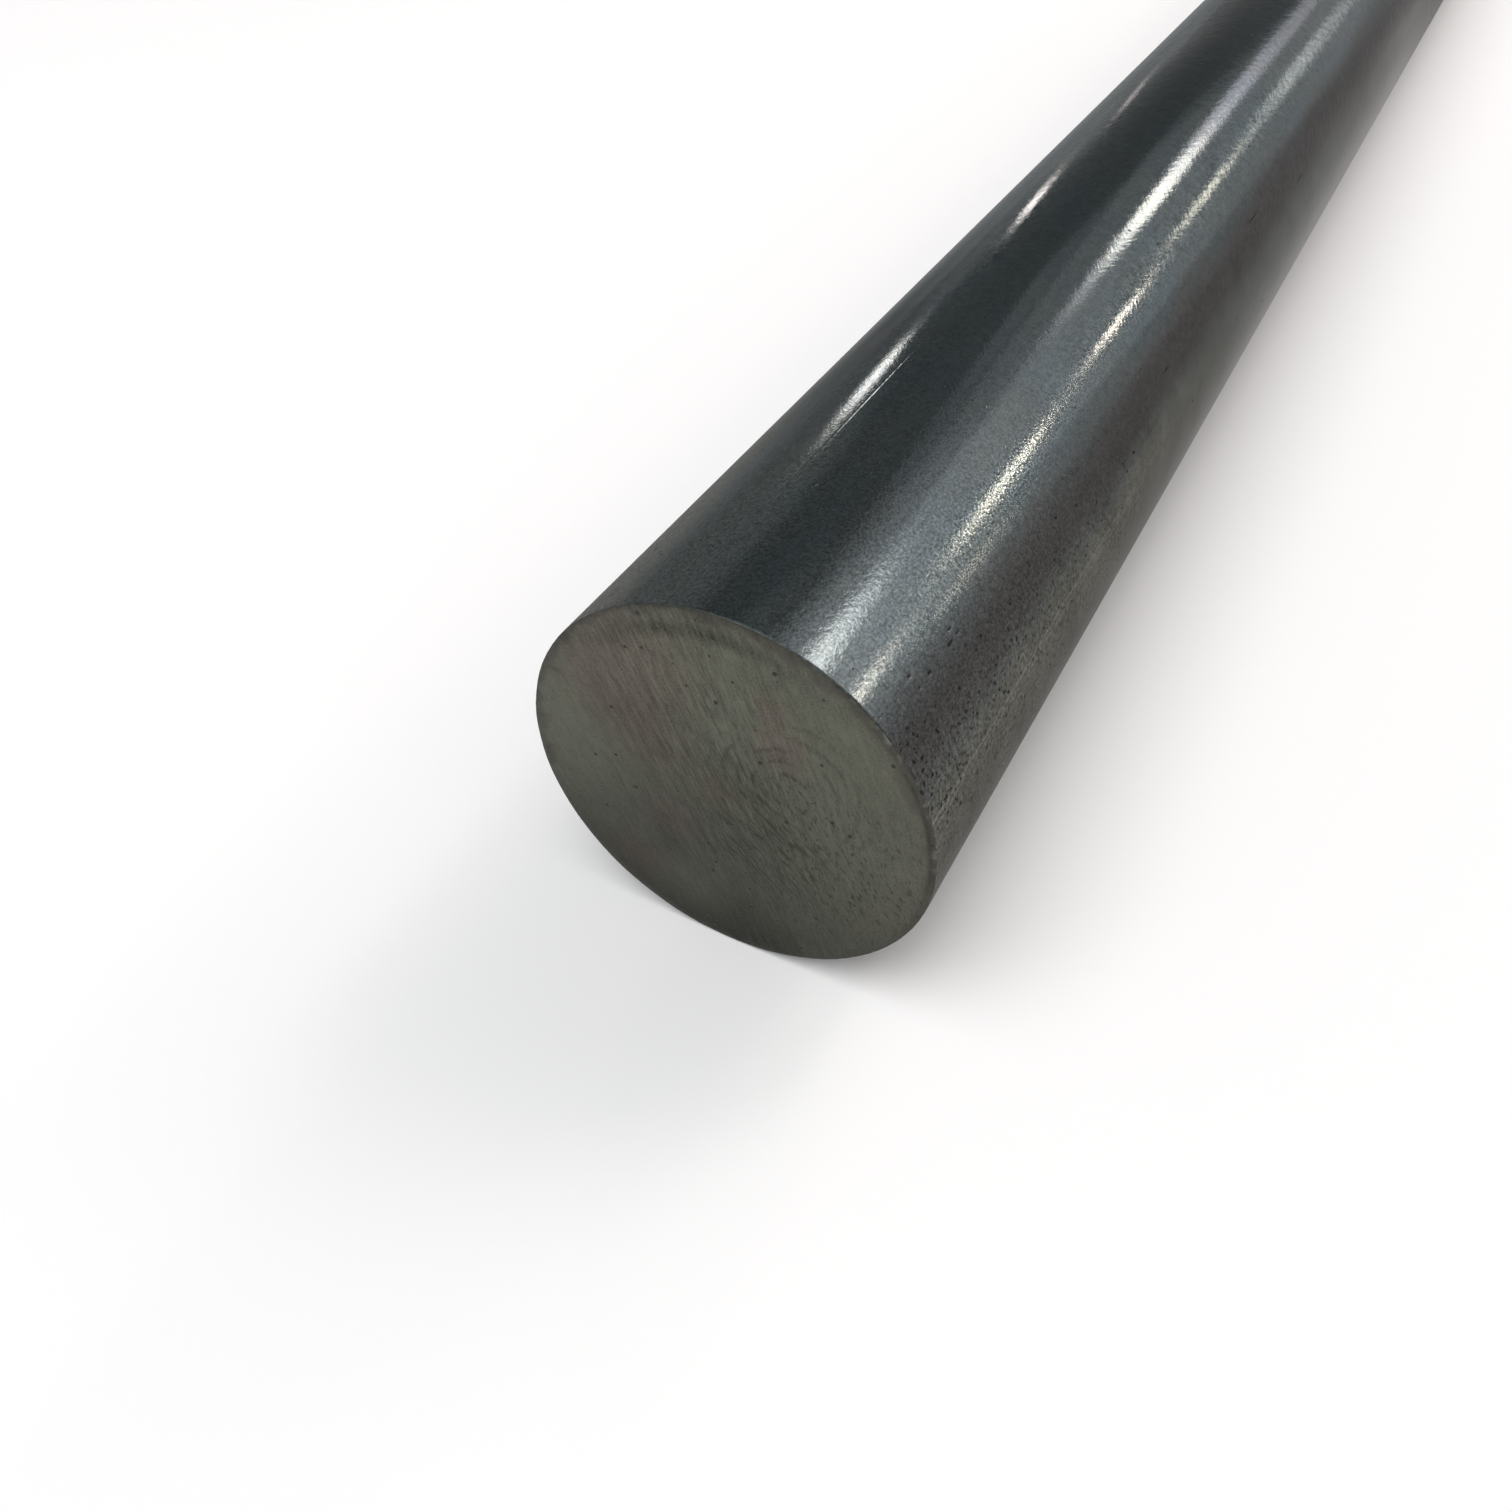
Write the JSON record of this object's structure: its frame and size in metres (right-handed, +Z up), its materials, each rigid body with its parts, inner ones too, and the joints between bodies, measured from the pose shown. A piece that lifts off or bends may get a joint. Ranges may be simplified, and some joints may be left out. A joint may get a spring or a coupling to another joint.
{
  "type": "round metal bar",
  "caption": "Solid round steel bar with a bright peeled surface and square sawn ends; raw stock for turning, shafts, pins and frames.",
  "frame": {"origin": "on the floor, under the middle of the bar's length", "axes": "+X along the bar's axis, away from the sawn end that the picture shows; +Z up"},
  "size_m": [0.5, 0.05, 0.05],
  "materials": {
    "steel": "peeled along the side, sawn across the ends"
  },
  "bodies": {
    "root": {"round_bar": "steel"}
  },
  "joints": []
}
